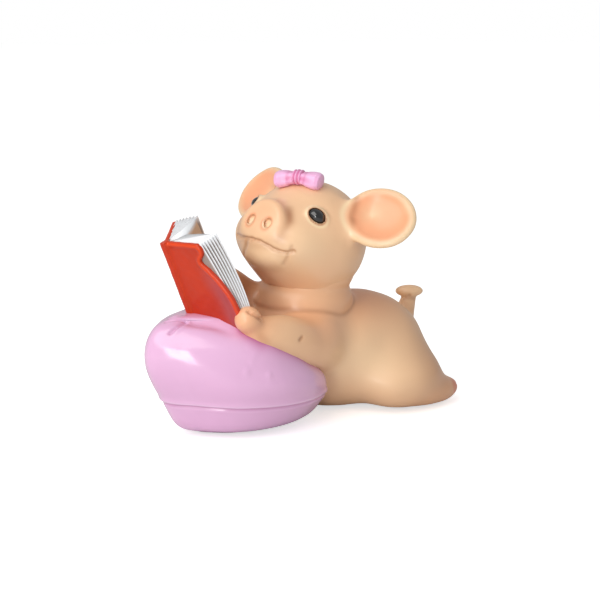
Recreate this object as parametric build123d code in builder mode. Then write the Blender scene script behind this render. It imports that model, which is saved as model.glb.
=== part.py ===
from build123d import *
import math
import os

# A cast resin ornament: a piglet lies on its belly over a heart-shaped pillow and reads a book.
# Millimetres. +Z is up, the piglet looks towards -Y, its own left side is +X, and the origin is
# on the table under the middle of the whole ornament.

os.makedirs("parts", exist_ok=True)

# Fits: the castings are located by pegs in sockets and glued
glue_gap = 0.15

# Torso: one mass, with the rump behind it, the shoulders in front and the neck on top
torso_half_width = 25.0
torso_half_length = 34.0
torso_half_height = 23.3
torso_y = 26.1
torso_pitch = 4.0
belly_flat_depth = 1.3
rump_half_width = 27.0
rump_half_length = 22.0
rump_half_height = 22.0
rump_back_share = 0.38
shoulder_half_width = 23.5
shoulder_half_length = 18.0
shoulder_half_height = 16.0
shoulder_front_share = 0.76
shoulder_rise_share = 0.40
neck_half_width = 18.5
neck_half_length = 19.0
neck_half_height = 11.5
neck_shift = 0.8

# Pads that the ornament stands on
pad_height = 0.8
pad_radius = 3.5
pillow_pad_shares = ((-0.22, 0.20), (0.22, 0.20), (0, -0.12))
belly_pad_shares = ((-0.20, 0.20), (0.20, 0.20))

# Head: a ball that looks up and a little to its left
head_half_width = 24.8
head_half_depth = 22.4
head_half_height = 23.5
head_back_share = 0.60
head_pitch = 25.0
head_roll = 4.0
head_yaw = 7.0
skull_shift = 1.6
neck_peg_radius = 7.0
neck_peg_length = 12.0

# Snout with its nostrils, and the soft muzzle under it
snout_half_width = 10.0
snout_half_height = 9.3
snout_reach = 26.2
snout_round = 2.4
snout_drop = 1.6
nostril_half_width = 1.7
nostril_half_height = 2.1
nostril_depth = 1.0
nostril_spread_share = 0.42
nostril_drop_share = 0.10
muzzle_half_width = 19.5
muzzle_half_depth = 15.5
muzzle_half_height = 13.0
muzzle_place_shares = (0, -0.53, -0.20)

# Ears: cupped discs on the sides of the head
ear_half_width = 14.5
ear_half_height = 12.4
ear_half_depth = 4.0
ear_wall = 2.2
ear_cup_shift = 3.0
ear_place_shares = (1.27, 0.10, 0.62)
ear_turn = 17.0
ear_lift = 11.0
ear_peg_radius = 1.5
ear_peg_length = 6.0
ear_peg_shares = (0.74, 0.12, 0.62)

# Eyes: glossy domes in shallow seats
eye_half_width = 3.3
eye_half_height = 2.6
eye_half_depth = 2.0
eye_place_shares = (0.633, -0.638, 0.28)
eye_turn = 46.0
eye_roll = 22.0

# Bow on top of the head: two pleated loops and a knot
bow_pitch = 35.0
bow_turn = 18.0
knot_half_width = 2.6
knot_half_depth = 3.2
knot_half_height = 2.8
knot_rise = 0.6
knot_peg_radius = 1.2
knot_peg_length = 4.0
loop_length = 10.0
loop_half_depth = 4.2
loop_half_height = 3.4
loop_droop = 9.0
loop_station_shares = ((0.0, 0.50), (0.38, 0.86), (0.74, 1.0), (1.0, 0.78))

# Pillow: a stuffed heart with its point forward and a sunk seam round its side
pillow_half_width = 35.0
pillow_half_length = 38.0
pillow_height = 45.4
pillow_overlap = 13.0
seam_tilt = 1.5
chest_peg_radius = 4.0
chest_peg_length = 8.0
chest_peg_rise_share = 0.55

# Heart outline: half of it, from the point round one lobe to the notch
heart_side_shares = (
    (0.40, -0.78),
    (0.80, -0.38),
    (1.0, 0.14),
    (0.92, 0.60),
    (0.62, 0.93),
    (0.28, 0.93),
)
heart_notch_share = 0.76

# Pillow stations: height, half width, reach of the point and reach of the lobes
lower_pillow_shares = (
    (0.0, 0.36, 0.36, 0.60),
    (0.09, 0.67, 0.60, 0.86),
    (0.27, 0.85, 0.73, 0.98),
)
upper_pillow_shares = (
    (0.27, 0.85, 0.73, 0.98),
    (0.42, 0.92, 0.84, 0.91),
    (0.60, 0.88, 0.93, 0.68),
    (0.78, 0.79, 0.92, 0.42),
    (0.91, 0.63, 0.82, 0.22),
    (0.985, 0.42, 0.60, 0.08),
)
pillow_top_share = -0.30

# Book: two boards and a spine, open on two fanned blocks of pages, leaning away
book_height = 31.5
book_sunk = 9.0
board_width = 26.0
board_thickness = 1.6
board_half_angle = 58.0
spine_radius = 1.6
board_top_slope = 0.17
page_foot_angle = 51.5
page_top_angle = 27.0
page_foot_width = 26.5
page_top_width = 19.6
page_gutter = 9.0
page_inset = 0.4
page_ridges = 6
page_groove = 0.9
page_foot_share = 0.92
page_top_share = 0.62
left_page_tilt = 10.0
right_page_tilt = 9.0
page_rise = 5.0
book_lean = 20.0
book_yaw = 20.0
book_place_shares = (-0.057, -0.355, 0.95)

# Fore-edge of a board, from its top corner to its foot
fore_edge_shares = (
    (0.60, 1.0),
    (0.65, 0.93),
    (0.64, 0.86),
    (0.56, 0.77),
    (0.66, 0.64),
    (0.79, 0.46),
    (0.93, 0.2),
    (1.0, 0.0),
)

# Arms: from the shoulders to the edges of the book
arm_radius = 9.8
arm_length_share = 0.68
arm_middle_share = 0.34
hand_radius = 5.0
left_arm_sag = 5.2
right_arm_sag = -2.0
shoulder_place_shares = (0.80, -0.40, 0.25)
left_hand_shares = (0.73, 0.585, -0.12)
right_hand_shares = (-0.86, 0.60, 0.28)
arm_peg_radius = 2.5
arm_peg_length = 8.0

# Hind legs: laid out backwards, each with a haunch and a hoof
haunch_half_width = 15.0
haunch_half_length = 19.0
haunch_half_height = 12.0
haunch_splay = 8.0
haunch_place_shares = (0.84, -0.06)
foot_half_width = 7.0
foot_half_length = 12.5
foot_half_height = 5.0
foot_splay = 16.0
foot_place_shares = (1.0, 0.69)
leg_peg_radius = 3.0
leg_peg_length = 9.0

# Tail: a short root with one curl on top
tail_radii = (6.5, 4.4, 3.0)
tail_root_shares = ((0.76, 0.42), (1.01, 0.74), (1.15, 0.94))
tail_height = 41.5
curl_half_length = 5.8
curl_half_width = 3.2
curl_half_height = 2.6
curl_turn = -40.0


# Ways to set a cylinder by one end of its axis
hanging = (Align.CENTER, Align.CENTER, Align.MAX)
standing = (Align.CENTER, Align.CENTER, Align.MIN)


def turned(x=0, y=0, z=0):
    """A turn about one axis through the origin."""
    return Location((0, 0, 0), (x, y, z))


def ellipsoid(half_sizes):
    """A closed ellipsoid with its centre at the origin, made as a front and a back half."""
    with BuildPart() as solid:
        Sphere(1, arc_size3=180, align=None)
        scale(by=half_sizes)
        mirror(about=Plane.XZ)
    return solid.part


def limb(centres, radii):
    """A round limb lofted through circles, closed by a ball at each end."""
    with BuildPart() as solid:
        for index, (centre, radius) in enumerate(zip(centres, radii)):
            before = centres[max(index - 1, 0)]
            after = centres[min(index + 1, len(centres) - 1)]
            with BuildSketch(Plane(origin=centre, x_dir=(1, 0, 0), z_dir=after - before)):
                Circle(radius)
        loft()
        with Locations(centres[0]):
            Sphere(radii[0])
        with Locations(centres[-1]):
            Sphere(radii[-1])
    return solid.part


def save(solid, name):
    """Label a finished piece and write it to its own file."""
    solid.label = name
    export_step(solid, f"parts/{name}.step")


# Torso mass, before the other pieces are let into it
torso_z = pad_height + torso_half_height - belly_flat_depth
torso_place = Location((0, torso_y, torso_z)) * turned(x=torso_pitch)
rump_y = torso_y + rump_back_share * torso_half_length
rump_z = pad_height + rump_half_height - belly_flat_depth
rump_place = Location((0, rump_y, rump_z))
shoulder_y = torso_y - shoulder_front_share * torso_half_length
shoulder_z = torso_z + shoulder_rise_share * torso_half_height
shoulder_place = Location((0, shoulder_y, shoulder_z))
torso_ball = ellipsoid((torso_half_width, torso_half_length, torso_half_height))
rump_ball = ellipsoid((rump_half_width, rump_half_length, rump_half_height))
shoulder_half_sizes = (shoulder_half_width, shoulder_half_length, shoulder_half_height)
shoulder_ball = ellipsoid(shoulder_half_sizes)
head_y = torso_y - head_back_share * torso_half_length
neck_top = torso_z + torso_half_height
neck_ball = ellipsoid((neck_half_width, neck_half_length, neck_half_height))

with BuildPart() as body_mass:
    with Locations(torso_place):
        add(torso_ball)
    with Locations(rump_place):
        add(rump_ball)
    with Locations(shoulder_place):
        add(shoulder_ball)
    with Locations((0, head_y + neck_shift, neck_top)):
        add(neck_ball)
    split(bisect_by=Plane.XY.offset(pad_height), keep=Keep.TOP)

# Head mass in its own turned frame: ball, snout and muzzle
head_z = neck_top + head_half_height
head_turn = turned(z=head_yaw) * turned(y=head_roll) * turned(x=-head_pitch)
head_place = Location((0, head_y, head_z)) * head_turn
head_half_sizes = (head_half_width, head_half_depth, head_half_height)


def on_head(shares, side=1):
    """A place in the head's frame, from shares of the head's half sizes."""
    x, y, z = (share * half for share, half in zip(shares, head_half_sizes))
    return Location((side * x, y, z))


head_ball = ellipsoid(head_half_sizes)
muzzle_ball = ellipsoid((muzzle_half_width, muzzle_half_depth, muzzle_half_height))
nostril_ball = ellipsoid((nostril_half_width, nostril_depth, nostril_half_height))
snout_face = Plane(head_place * Location((0, -snout_reach, -snout_drop)) * turned(x=90))

with BuildPart() as snout_mass:
    with BuildSketch(snout_face):
        Ellipse(snout_half_width, snout_half_height)
    extrude(amount=-snout_reach)
    snout_disc = faces().sort_by(Axis(snout_face.origin, snout_face.z_dir))[-1]
    fillet(snout_disc.edges(), snout_round)

with BuildPart() as head_mass:
    with Locations(head_place * Location((0, skull_shift, 0))):
        add(head_ball)
    add(snout_mass.part)
    with Locations(head_place * on_head(muzzle_place_shares)):
        add(muzzle_ball)

# Pillow mass: two lofts that meet at the seam
pillow_y = torso_y - torso_half_length + pillow_overlap - pillow_half_length
pillow_top = pad_height + pillow_height


def pillow_sections(stations):
    """Heart outlines on planes that tilt with the seam as they rise from the flat base."""
    seam_share = lower_pillow_shares[-1][0]
    for rise, width, point, lobe in stations:
        tilt = -seam_tilt * min(rise / seam_share, 1)
        plane = Plane(Location((0, pillow_y, pad_height + rise * pillow_height)) * turned(x=tilt))
        side = [
            (x * width * pillow_half_width, y * (point if y < 0 else lobe) * pillow_half_length)
            for x, y in heart_side_shares
        ]
        tip = (0, -point * pillow_half_length)
        notch = (0, heart_notch_share * lobe * pillow_half_length)
        other_side = [(-x, y) for x, y in reversed(side)]
        with BuildSketch(plane) as section:
            with BuildLine():
                Spline(tip, *side, notch, *other_side, periodic=True)
            make_face()
        yield section.sketch.faces()[0]


pillow_apex = Vertex(0, pillow_y + pillow_top_share * pillow_half_length, pillow_top)

with BuildPart() as pillow_mass:
    loft(list(pillow_sections(lower_pillow_shares)))
    loft([*pillow_sections(upper_pillow_shares), pillow_apex])

# Book, in a frame whose X crosses the covers, Y opens towards the piglet and Z runs up the spine
book_x = book_place_shares[0] * pillow_half_width
book_y = pillow_y + book_place_shares[1] * pillow_half_length
book_z = book_place_shares[2] * pillow_top
book_place = Location((book_x, book_y, book_z)) * turned(z=-book_yaw) * turned(x=book_lean)
book_plane = Plane(book_place)
page_root = board_thickness / math.sin(math.radians(board_half_angle))
page_levels = (
    (-book_sunk, page_foot_share, page_foot_width, page_foot_angle),
    (book_height + page_rise, page_top_share, page_top_width, page_top_angle),
)


def in_book(angle, reach):
    """A point in the book's cross-section, at an angle from its middle plane."""
    return (reach * math.sin(math.radians(angle)), reach * math.cos(math.radians(angle)))


def board_point(x_share, y_share, side):
    """A point on a board's face. The top slopes down on the left board and up on the right one."""
    x = x_share * board_width
    return (x, y_share * (book_height - side * board_top_slope * x))


with BuildPart() as cover_mass:
    with BuildSketch(book_plane.offset(-book_sunk)):
        Circle(spine_radius)
    extrude(amount=book_sunk + book_height)
    for side in (1, -1):
        board_face = Plane(book_place * turned(z=90 - side * board_half_angle) * turned(x=90))
        with BuildSketch(board_face):
            with BuildLine():
                edge = Spline(*[board_point(x, y, side) for x, y in fore_edge_shares])
                Polyline(edge @ 1, (board_width, -book_sunk), (0, -book_sunk), (0, book_height), edge @ 0)
            make_face()
        extrude(amount=-side * board_thickness)
    add(pillow_mass.part, mode=Mode.SUBTRACT)


def page_section(side, cover_reach, page_width, page_angle):
    """Cross-section of one block of pages: zigzag leaves between the board and the open page."""
    board_inner = board_half_angle - math.degrees(math.asin(board_thickness / cover_reach))
    points = [(0, page_root), in_book(side * board_inner, cover_reach)]
    for leaf in range(1, page_ridges):
        share = leaf / page_ridges
        angle = board_inner + share * (page_angle - board_inner)
        reach = cover_reach + share * (page_width - cover_reach)
        points.append(in_book(side * angle, reach - page_groove))
        points.append(in_book(side * angle, reach))
    points.append(in_book(side * page_angle, page_width))
    points.append((0, page_gutter))
    return points


def page_block(side, tilt):
    """One block of pages. It fans out towards its top, where the board is cut back."""
    with BuildPart() as block:
        for height, reach_share, width, angle in page_levels:
            with BuildSketch(book_plane.offset(height)):
                with BuildLine():
                    Polyline(*page_section(side, board_width * reach_share, width, angle), close=True)
                make_face()
        loft(ruled=True)
        top = Plane(book_place * Location((0, 0, book_height - page_inset)) * turned(y=tilt))
        split(bisect_by=top, keep=Keep.BOTTOM)
        add(pillow_mass.part, mode=Mode.SUBTRACT)
    return block.part


page_blocks = {
    "left_pages": page_block(1, left_page_tilt),
    "right_pages": page_block(-1, right_page_tilt),
}


# Arms, from the shoulders to the edges of the book
def arm_start(side):
    """Where an arm leaves the shoulder."""
    x, dy, dz = (share * half for share, half in zip(shoulder_place_shares, shoulder_half_sizes))
    return Vector(side * x, shoulder_y + dy, shoulder_z + dz)


def arm(side, hand_shares, sag):
    """One arm with its hand, from inside the shoulder to the edge of the book."""
    start = arm_start(side)
    hand = (book_place * Location(tuple(share * board_width for share in hand_shares))).position
    middle = start + (hand - start) * arm_middle_share - Vector(0, 0, sag)
    arm_ball = ellipsoid((arm_radius, arm_radius, arm_length_share * (hand - start).length))
    with BuildPart() as solid:
        with Locations(Plane(origin=middle, z_dir=hand - start).location):
            add(arm_ball)
        with Locations(hand):
            add(hand_ball)
    return solid.part


def arm_peg_place(side):
    """The middle of an arm's peg, with its axis across the body."""
    return Location(arm_start(side)) * turned(y=90)


hand_ball = ellipsoid((hand_radius, hand_radius, hand_radius))
arms = {
    "left_arm": (1, left_hand_shares, left_arm_sag),
    "right_arm": (-1, right_hand_shares, right_arm_sag),
}
arm_masses = []
arm_pieces = {}
for name, (side, hand_shares, sag) in arms.items():
    arm_mass = arm(side, hand_shares, sag)
    arm_masses.append(arm_mass)
    with BuildPart() as piece:
        add(arm_mass)
        add(cover_mass.part, mode=Mode.SUBTRACT)
        for block in page_blocks.values():
            add(block, mode=Mode.SUBTRACT)
        add(body_mass.part, mode=Mode.SUBTRACT)
        add(head_mass.part, mode=Mode.SUBTRACT)
        with Locations(arm_peg_place(side)):
            Cylinder(arm_peg_radius, 2 * arm_peg_length)
    arm_pieces[name] = piece.part


# Hind legs, laid out backwards beside the rump
haunch_ball = ellipsoid((haunch_half_width, haunch_half_length, haunch_half_height))
foot_ball = ellipsoid((foot_half_width, foot_half_length, foot_half_height))
haunch_z = pad_height + haunch_half_height
foot_z = pad_height + foot_half_height
leg_x = haunch_place_shares[0] * rump_half_width
leg_y = rump_y + haunch_place_shares[1] * rump_half_length
foot_x = foot_place_shares[0] * rump_half_width
foot_y = rump_y + foot_place_shares[1] * rump_half_length


def leg_peg_place(side):
    """The middle of a leg's peg, with its axis across the body."""
    return Location((side * leg_x, leg_y, haunch_z)) * turned(y=90)


leg_pieces = {}
for name, side in (("left_leg", 1), ("right_leg", -1)):
    with BuildPart() as piece:
        with Locations(Location((side * leg_x, leg_y, haunch_z)) * turned(z=side * haunch_splay)):
            add(haunch_ball)
        with Locations(Location((side * foot_x, foot_y, foot_z)) * turned(z=side * foot_splay)):
            add(foot_ball)
        add(body_mass.part, mode=Mode.SUBTRACT)
        with Locations(leg_peg_place(side)):
            Cylinder(leg_peg_radius, 2 * leg_peg_length)
    leg_pieces[name] = piece.part

# Tail: a root that rises from the rump with a curl on top
tail_centres = [
    Vector(0, rump_y + back * rump_half_length, rise * tail_height) for back, rise in tail_root_shares
]
tail_root = limb(tail_centres, tail_radii)
tail_tip = tail_centres[-1]
curl_ball = ellipsoid((curl_half_width, curl_half_length, curl_half_height))

with BuildPart() as tail:
    add(tail_root)
    with Locations(Location((0, tail_tip.Y, tail_height)) * turned(z=curl_turn)):
        add(curl_ball)
    add(body_mass.part, mode=Mode.SUBTRACT)

# Ears: cupped discs let into the sides of the head
ear_ball = ellipsoid((ear_half_width, ear_half_depth, ear_half_height))
ear_cup = ellipsoid((ear_half_width - ear_wall, ear_half_depth, ear_half_height - ear_wall))


def ear_peg_place(side):
    """The middle of an ear's peg, with its axis across the head."""
    return head_place * on_head(ear_peg_shares, side) * turned(y=90)


ear_pieces = {}
for name, side in (("left_ear", 1), ("right_ear", -1)):
    ear_tilt = turned(z=side * ear_turn) * turned(x=-ear_lift)
    ear_place = head_place * on_head(ear_place_shares, side) * ear_tilt
    with BuildPart() as piece:
        with Locations(ear_place):
            add(ear_ball)
        with Locations(ear_place * Location((0, -ear_cup_shift, 0))):
            add(ear_cup, mode=Mode.SUBTRACT)
        add(head_mass.part, mode=Mode.SUBTRACT)
        with Locations(ear_peg_place(side)):
            Cylinder(ear_peg_radius, 2 * ear_peg_length)
    ear_pieces[name] = piece.part

# Eyes: domes glued in seats that are cut to the same shape
eye_half_sizes = (eye_half_width, eye_half_depth, eye_half_height)
eye_ball = ellipsoid(eye_half_sizes)
eye_seat = ellipsoid(tuple(half + glue_gap for half in eye_half_sizes))


def eye_place(side):
    """The middle of an eye, facing out of the head."""
    eye_tilt = turned(z=side * eye_turn) * turned(y=side * eye_roll)
    return head_place * on_head(eye_place_shares, side) * eye_tilt


eye_pieces = {}
for name, side in (("left_eye", 1), ("right_eye", -1)):
    with BuildPart() as piece:
        with Locations(eye_place(side)):
            add(eye_ball)
    eye_pieces[name] = piece.part

# Bow: a knot on the head with a pleated loop on each side
bow_rise = Location((0, 0, head_half_height + knot_rise))
bow_place = head_place * turned(x=bow_pitch) * bow_rise * turned(z=bow_turn)
knot_ball = ellipsoid((knot_half_width, knot_half_depth, knot_half_height))

with BuildPart() as bow_knot:
    with Locations(bow_place):
        add(knot_ball)
    add(head_mass.part, mode=Mode.SUBTRACT)
    with Locations(bow_place):
        Cylinder(knot_peg_radius, knot_peg_length, align=hanging)

loop_pieces = {}
for name, side in (("left_bow_loop", 1), ("right_bow_loop", -1)):
    loop_place = bow_place * turned(y=side * loop_droop) * turned(y=side * 90)
    with BuildPart() as piece:
        for reach_share, swell_share in loop_station_shares:
            with BuildSketch(Plane(loop_place).offset(reach_share * loop_length)):
                Ellipse(loop_half_height * swell_share, loop_half_depth * swell_share)
        loft()
        add(head_mass.part, mode=Mode.SUBTRACT)
        add(bow_knot.part, mode=Mode.SUBTRACT)
    loop_pieces[name] = piece.part

# Torso: seat for the head and sockets for the pegs
neck_place = Location((0, head_y, neck_top))
chest_y = shoulder_y - shoulder_half_length
chest_z = pad_height + chest_peg_rise_share * pillow_height
chest_place = Location((0, chest_y, chest_z)) * turned(x=90)

with BuildPart() as torso:
    add(body_mass.part)
    add(head_mass.part, mode=Mode.SUBTRACT)
    with Locations(neck_place):
        Cylinder(neck_peg_radius + glue_gap, 2 * (neck_peg_length + glue_gap), mode=Mode.SUBTRACT)
    for side in (1, -1):
        with Locations(arm_peg_place(side)):
            Cylinder(arm_peg_radius + glue_gap, 2 * (arm_peg_length + glue_gap), mode=Mode.SUBTRACT)
        with Locations(leg_peg_place(side)):
            Cylinder(leg_peg_radius + glue_gap, 2 * (leg_peg_length + glue_gap), mode=Mode.SUBTRACT)
    with Locations(chest_place):
        Cylinder(chest_peg_radius, 2 * chest_peg_length)

# Head: seats for the eyes and sockets for the ears and the bow, with the neck peg
with BuildPart() as head:
    add(head_mass.part)
    for side in (1, -1):
        with Locations(eye_place(side)):
            add(eye_seat, mode=Mode.SUBTRACT)
        with Locations(ear_peg_place(side)):
            Cylinder(ear_peg_radius + glue_gap, 2 * (ear_peg_length + glue_gap), mode=Mode.SUBTRACT)
    for x_share in (nostril_spread_share, -nostril_spread_share):
        nostril = Location((x_share * snout_half_width, -nostril_drop_share * snout_half_height, 0))
        with Locations(snout_face.location * nostril * turned(x=-90)):
            add(nostril_ball, mode=Mode.SUBTRACT)
    with Locations(bow_place):
        Cylinder(knot_peg_radius + glue_gap, knot_peg_length + glue_gap, align=hanging, mode=Mode.SUBTRACT)
    with Locations(neck_place):
        Cylinder(neck_peg_radius, 2 * neck_peg_length)

# Pillow: hollowed where the chest and the arms lie in it, with a socket for the chest peg
with BuildPart() as pillow:
    add(pillow_mass.part)
    add(body_mass.part, mode=Mode.SUBTRACT)
    for arm_mass in arm_masses:
        add(arm_mass, mode=Mode.SUBTRACT)
    with Locations(chest_place):
        Cylinder(chest_peg_radius + glue_gap, 2 * (chest_peg_length + glue_gap), mode=Mode.SUBTRACT)

# Pads under the pillow and the belly
pillow_pads = [
    (x * pillow_half_width, pillow_y + y * pillow_half_length) for x, y in pillow_pad_shares
]
belly_pads = [(x * torso_half_width, rump_y + y * rump_half_length) for x, y in belly_pad_shares]
with BuildPart() as base_pads:
    with Locations(*pillow_pads, *belly_pads):
        Cylinder(pad_radius, pad_height, align=standing)

pieces = {
    "torso": torso.part,
    "head": head.part,
    "pillow": pillow.part,
    "book_cover": cover_mass.part,
    "tail": tail.part,
    "bow_knot": bow_knot.part,
    "base_pads": base_pads.part,
    **page_blocks,
    **arm_pieces,
    **leg_pieces,
    **ear_pieces,
    **eye_pieces,
    **loop_pieces,
}
for name, solid in pieces.items():
    save(solid, name)
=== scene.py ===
import math

import bpy
import numpy as np
from mathutils import Matrix
from numpy.linalg import norm


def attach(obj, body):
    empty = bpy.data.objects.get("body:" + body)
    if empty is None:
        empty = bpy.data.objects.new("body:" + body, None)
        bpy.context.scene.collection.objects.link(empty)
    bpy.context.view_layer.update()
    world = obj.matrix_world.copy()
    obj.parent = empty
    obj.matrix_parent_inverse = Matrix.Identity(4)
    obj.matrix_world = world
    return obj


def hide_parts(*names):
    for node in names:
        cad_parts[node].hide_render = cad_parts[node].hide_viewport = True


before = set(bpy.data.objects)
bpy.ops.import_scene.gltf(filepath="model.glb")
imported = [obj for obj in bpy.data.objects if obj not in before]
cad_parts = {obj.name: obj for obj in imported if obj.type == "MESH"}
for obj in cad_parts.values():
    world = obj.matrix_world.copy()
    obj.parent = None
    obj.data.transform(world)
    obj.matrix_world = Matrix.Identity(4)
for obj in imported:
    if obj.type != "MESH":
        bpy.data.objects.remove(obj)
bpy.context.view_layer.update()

# Body: torso, haunches, front legs and tail, cast in resin as one smooth skin and airbrushed.
# Its form is the union of soft masses, meshed where their joined distance is nothing. Sizes here
# are in millimetres, +Z is up and the piglet looks towards -Y.
mm = 0.001


def turn(x=0, y=0, z=0):
    """The matrix of a turn about X, then Y, then Z, in degrees."""
    radians = map(math.radians, (x, y, z))
    (cx, sx), (cy, sy), (cz, sz) = ((math.cos(a), math.sin(a)) for a in radians)
    about_x = np.array([[1, 0, 0], [0, cx, -sx], [0, sx, cx]])
    about_y = np.array([[cy, 0, sy], [0, 1, 0], [-sy, 0, cy]])
    about_z = np.array([[cz, -sz, 0], [sz, cz, 0], [0, 0, 1]])
    return about_z @ about_y @ about_x


def along(direction):
    """A turn that sets Z along a direction."""
    z = np.array(direction, float) / norm(direction)
    x = np.cross((0.31, 0.95, 0.11), z)
    x /= norm(x)
    return np.stack([x, np.cross(z, x), z], axis=1)


def ball(points, centre, halves, placed=np.eye(3)):
    """Distance from points to an ellipsoid, less than nothing inside it."""
    local = (points - np.array(centre)) @ placed
    halves = np.array(halves, float)
    reach = np.maximum(norm(local / halves, axis=-1), 1e-6)
    slope = np.maximum(norm(local / halves**2, axis=-1), 1e-9)
    return reach * (reach - 1) / slope


def join(first, second, soft):
    """Two forms as one, with a fillet where they meet."""
    fillet = np.clip(soft - np.abs(first - second), 0, None) / soft
    return np.minimum(first, second) - fillet * fillet * soft / 4


def cut(form, tool, soft):
    """A form with a tool's shape taken out of it."""
    return -join(-form, tool, soft)


def off_path(points, path, radii=None):
    """Distance to an open path, less its radius there."""
    path = np.array(path, float)
    radii = np.zeros(len(path)) if radii is None else np.array(radii, float)
    nearest = np.full(points.shape[:-1], 1e9)
    for start, end, first, last in zip(path[:-1], path[1:], radii[:-1], radii[1:]):
        run = end - start
        share = np.clip((points - start) @ run / (run @ run), 0, 1)
        gap = norm(points - start - share[..., None] * run, axis=-1)
        nearest = np.minimum(nearest, gap - first - share * (last - first))
    return nearest


def band(values, middle, width):
    """One where values are at the middle, and fading to nothing over the width."""
    return np.exp(-(((values - middle) / width) ** 2))


def trace(points, path, width):
    """A soft line along a path: one on it, and fading to nothing over its width."""
    return band(off_path(points, path), 0, width)


def spot(points, centre, halves):
    """A soft spot: one at its centre, and fading to nothing over its half sizes."""
    return np.exp(-(((points - np.array(centre)) / np.array(halves)) ** 2).sum(axis=-1))


def mirrored(path):
    """The same path on the piglet's other side."""
    return [(-x, y, z) for x, y, z in path]


def waves(points, size, seed):
    """Soft unevenness of a given size, between about -1 and 1."""
    chance = np.random.default_rng(seed)
    total = np.zeros(points.shape[:-1])
    for _ in range(7):
        heading = chance.normal(size=3)
        heading *= 2 * math.pi / (size * chance.uniform(0.7, 1.5) * norm(heading))
        total += np.sin(points @ heading + chance.uniform(0, 2 * math.pi))
    return total / 3.5


def slope_of(form, points):
    """The unit direction in which a form's distance grows, and how fast it grows."""
    step = 0.02
    rises = [form(points + step * e) - form(points - step * e) for e in np.eye(3)]
    slope = np.stack(rises, axis=-1) / (2 * step)
    rate = np.maximum(norm(slope, axis=-1, keepdims=True), 1e-6)
    return slope / rate, rate[:, 0]


def mesh_of(name, points, faces):
    """A smooth-shaded object from points in millimetres."""
    mesh = bpy.data.meshes.new(name)
    mesh.from_pydata((np.asarray(points) * mm).tolist(), [], faces)
    mesh.validate()
    mesh.polygons.foreach_set("use_smooth", [True] * len(mesh.polygons))
    made = bpy.data.objects.new(name, mesh)
    bpy.context.scene.collection.objects.link(made)
    return made


def cast(name, form, depth, low, high, cell):
    """The skin of a form: cells that the surface crosses get a point each, the points settle on
    the surface, and carved detail then moves them in by its depth."""
    block, nudge = 4, 1e-4
    counts = [block * math.ceil((b - a) / (cell * block)) for a, b in zip(low, high)]
    axes = [a + nudge + cell * np.arange(n) for a, n in zip(low, counts)]
    middles = [axis.reshape(-1, block).mean(axis=1) for axis in axes]
    rough = form(np.stack(np.meshgrid(*middles, indexing="ij"), axis=-1))
    values = rough.repeat(block, 0).repeat(block, 1).repeat(block, 2)
    near = np.abs(values) < 1.6 * block * cell
    values[near] = form(np.stack(np.meshgrid(*axes, indexing="ij"), axis=-1)[near])

    inside = values < 0
    ends = [count - 1 for count in counts]
    corners = np.zeros(ends, np.int8)
    for i, j, k in np.ndindex(2, 2, 2):
        corners += inside[i : ends[0] + i, j : ends[1] + j, k : ends[2] + k]
    crossed = (corners > 0) & (corners < 8)
    number = np.full(crossed.shape, -1)
    cells = np.argwhere(crossed)
    number[crossed] = np.arange(len(cells))
    total, hits = np.zeros((len(cells), 3)), np.zeros(len(cells))
    faces = []
    for axis in range(3):
        second, third = (axis + 1) % 3, (axis + 2) % 3
        unit, across, up = np.eye(3, dtype=int)[[axis, second, third]]
        for start in (cells, cells + across, cells + up, cells + across + up):
            first, last = values[tuple(start.T)], values[tuple((start + unit).T)]
            found = (first < 0) != (last < 0)
            share = first[found] / (first[found] - last[found])
            total[found] += start[found] + share[:, None] * unit
            hits[found] += 1
        before = np.take(inside, range(ends[axis]), axis=axis)
        after = np.take(inside, range(1, counts[axis]), axis=axis)
        edges = np.argwhere(before != after)
        edges = edges[(edges @ across > 0) & (edges @ up > 0)]
        edges = edges[(edges @ across < ends[second]) & (edges @ up < ends[third])]
        ring = [number[tuple((edges - gap).T)] for gap in (across + up, up, 0 * up, across)]
        ring = np.stack(ring, axis=1)
        inwards = ~before[tuple(edges.T)]
        ring[inwards] = ring[inwards][:, ::-1]
        faces.append(ring)
    faces = np.concatenate(faces)
    points = np.array(low) + nudge + cell * total / hits[:, None]

    for _ in range(3):
        centres = points[faces].mean(axis=1)
        relaxed, shared = np.zeros_like(points), np.zeros(len(points))
        for corner in faces.T:
            np.add.at(relaxed, corner, centres)
            np.add.at(shared, corner, 1)
        points = 0.5 * points + 0.5 * relaxed / shared[:, None]
        for _ in range(2):
            normal, rate = slope_of(form, points)
            points -= normal * np.clip(form(points) / rate, -cell, cell)[:, None]
    normal, _ = slope_of(form, points)
    points -= normal * depth(points)[:, None]
    return mesh_of(name, points, faces.tolist()), points


def paint(piece, **masks):
    """Airbrush masks, kept on the points of a piece: real paint, painted shade and painted
    highlight.
    """
    for name, amount in masks.items():
        layer = piece.data.attributes.new(name, "FLOAT", "POINT")
        layer.data.foreach_set("value", np.clip(amount, 0, 1).astype(np.float32))


shoulders = {side: np.array((side * 18.8, -6.94, 36.12)) for side in (1, -1)}
hands = {1: np.array((21.09, -38.45, 46.16)), -1: np.array((-18.84, -27.31, 56.07))}
arm_sags, arm_girth, hand_radius = {1: 5.2, -1: -2.0}, 9.8, 4.9
tail_path, tail_radii = ((0, 55.74, 17.4), (0, 61.24, 30.7), (0, 64.3, 39.0)), (6.5, 4.4, 3.0)
curl_place = (0, 64.3, 41.5)
hind_feet = {side: ((side * 27, 54.2, 5.8), turn(z=side * 16)) for side in (1, -1)}
throat_top, belly_level = 60, 0.8


def trunk_form(points):
    """Torso, rump and shoulders."""
    form = ball(points, (0, 26.1, 22.8), (25, 34, 23.3), turn(x=4))
    form = join(form, ball(points, (0, 39.0, 21.5), (27, 22, 22)), 3)
    return join(form, ball(points, (0, 0.3, 32.1), (23.5, 18, 16)), 6)


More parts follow.
